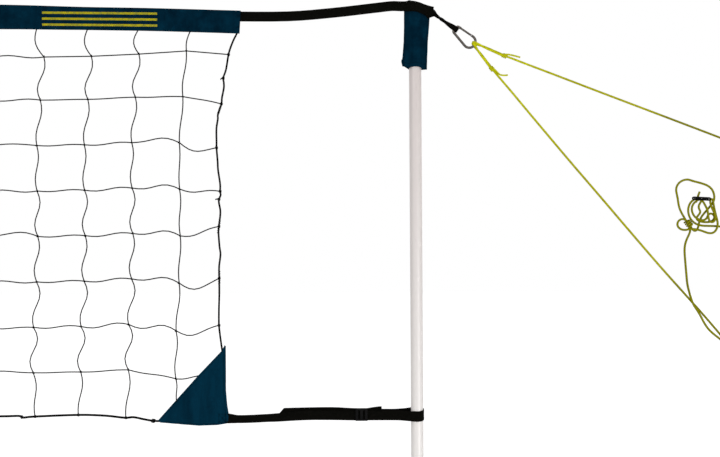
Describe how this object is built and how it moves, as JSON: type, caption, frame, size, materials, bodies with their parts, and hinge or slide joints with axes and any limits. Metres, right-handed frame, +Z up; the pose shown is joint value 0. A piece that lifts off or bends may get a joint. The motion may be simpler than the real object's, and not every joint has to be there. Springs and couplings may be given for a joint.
{
  "type": "volleyball net on poles",
  "caption": "Recreational volleyball net with a folded cloth top band, webbing straps, corner patches, telescopic lever-clamp poles, snap hooks and guy ropes.",
  "frame": {"origin": "centre of the right pole's foot, on the ground", "axes": "+X along the net from the left pole to the right pole, +Y away from the front, +Z up along the poles"},
  "size_m": [7.6038, 0.1311, 2.247],
  "materials": {
    "painted_tube": "light warm grey paint, satin",
    "black_plastic": "black moulded nylon",
    "navy_cloth": "coated navy cloth, matt",
    "black_webbing": "black woven polyester webbing",
    "black_twine": "black knotted twine",
    "steel_wire": "plain steel wire, slightly dull",
    "guy_rope": "yellow braided rope"
  },
  "bodies": {
    "pole_right": {"lower_tube_right": "painted_tube", "foot_cap_right": "black_plastic", "clamp_collar_right": "black_plastic", "clamp_bolt_right": "steel_wire"},
    "lever_right": {"clamp_lever_right": "black_plastic"},
    "net_frame": {"upper_tube_right": "painted_tube", "guide_bush_right": "black_plastic", "top_cap_right": "black_plastic", "pole_sleeve_right": "navy_cloth", "top_strap_right": "black_webbing", "tail_strap_right": "black_webbing", "hook_body_right": "steel_wire", "hook_rivet_right": "steel_wire", "corner_patch_right": "navy_cloth", "bottom_strap_right": "black_webbing", "side_cord_right": "black_twine", "upper_tube_left": "painted_tube", "guide_bush_left": "black_plastic", "top_cap_left": "black_plastic", "pole_sleeve_left": "navy_cloth", "top_strap_left": "black_webbing", "tail_strap_left": "black_webbing", "corner_patch_left": "navy_cloth", "bottom_strap_left": "black_webbing", "side_cord_left": "black_twine", "top_band": "navy_cloth", "head_webbing": "black_webbing", "net_uprights": "black_twine", "net_levels": "black_twine", "bottom_cord": "black_twine", "guy_rope_back": "guy_rope", "rope_eye_back": "guy_rope", "rope_end_back": "guy_rope", "guy_rope_front": "guy_rope", "rope_eye_front": "guy_rope", "rope_end_front": "guy_rope", "slack_run": "guy_rope", "slack_hank": "guy_rope", "slack_tail": "guy_rope", "rope_tensioner": "black_plastic"},
    "gate_right": {"hook_gate_right": "steel_wire", "gate_spring_right": "steel_wire"},
    "hook_left": {"hook_body_left": "steel_wire", "hook_rivet_left": "steel_wire"},
    "gate_left": {"hook_gate_left": "steel_wire", "gate_spring_left": "steel_wire"},
    "slider_right": {"strap_slider_right": "black_plastic"},
    "slider_left": {"strap_slider_left": "black_plastic"},
    "pole_left": {"lower_tube_left": "painted_tube", "foot_cap_left": "black_plastic", "clamp_collar_left": "black_plastic", "clamp_bolt_left": "steel_wire"},
    "lever_left": {"clamp_lever_left": "black_plastic"}
  },
  "joints": [
    {"name": "height_slide_right", "type": "slide", "parent": "pole_right", "child": "net_frame", "axis": [0, 0, 1], "range_m": [0, 0.19]},
    {"name": "height_slide_left", "type": "slide", "parent": "net_frame", "child": "pole_left", "axis": [0, 0, -1], "range_m": [0, 0.19]},
    {"name": "clamp_lever_hinge_right", "type": "hinge", "parent": "pole_right", "child": "lever_right", "pos_m": [0.027, -0.0158, 1.237], "axis": [0, 0, 1], "range_deg": [0, 110]},
    {"name": "clamp_lever_hinge_left", "type": "hinge", "parent": "pole_left", "child": "lever_left", "pos_m": [-6.823, -0.0158, 1.237], "axis": [0, 0, -1], "range_deg": [0, 110]},
    {"name": "hook_gate_hinge_right", "type": "hinge", "parent": "net_frame", "child": "gate_right", "pos_m": [0.09595, 0, 2.19069], "axis": [0, 1, 0], "range_deg": [0, 25], "stiffness_Nm_per_rad": 0.02, "springref_deg": -17.19},
    {"name": "hook_swing_left", "type": "hinge", "parent": "net_frame", "child": "hook_left", "pos_m": [-6.856, 0, 2.167], "axis": [1, 0, 0], "range_deg": [-60, 60]},
    {"name": "hook_gate_hinge_left", "type": "hinge", "parent": "hook_left", "child": "gate_left", "pos_m": [-6.86449, 0, 2.1598], "axis": [0, -1, 0], "range_deg": [0, 25], "stiffness_Nm_per_rad": 0.02, "springref_deg": -17.19},
    {"name": "strap_slider_travel_right", "type": "slide", "parent": "net_frame", "child": "slider_right", "axis": [-1, 0, 0], "range_m": [-0.04, 0.12]},
    {"name": "strap_slider_travel_left", "type": "slide", "parent": "net_frame", "child": "slider_left", "axis": [1, 0, 0], "range_m": [-0.04, 0.12]}
  ],
  "couplings": [
    {"joint": "height_slide_left", "follows": "height_slide_right", "ratio": 1}
  ]
}
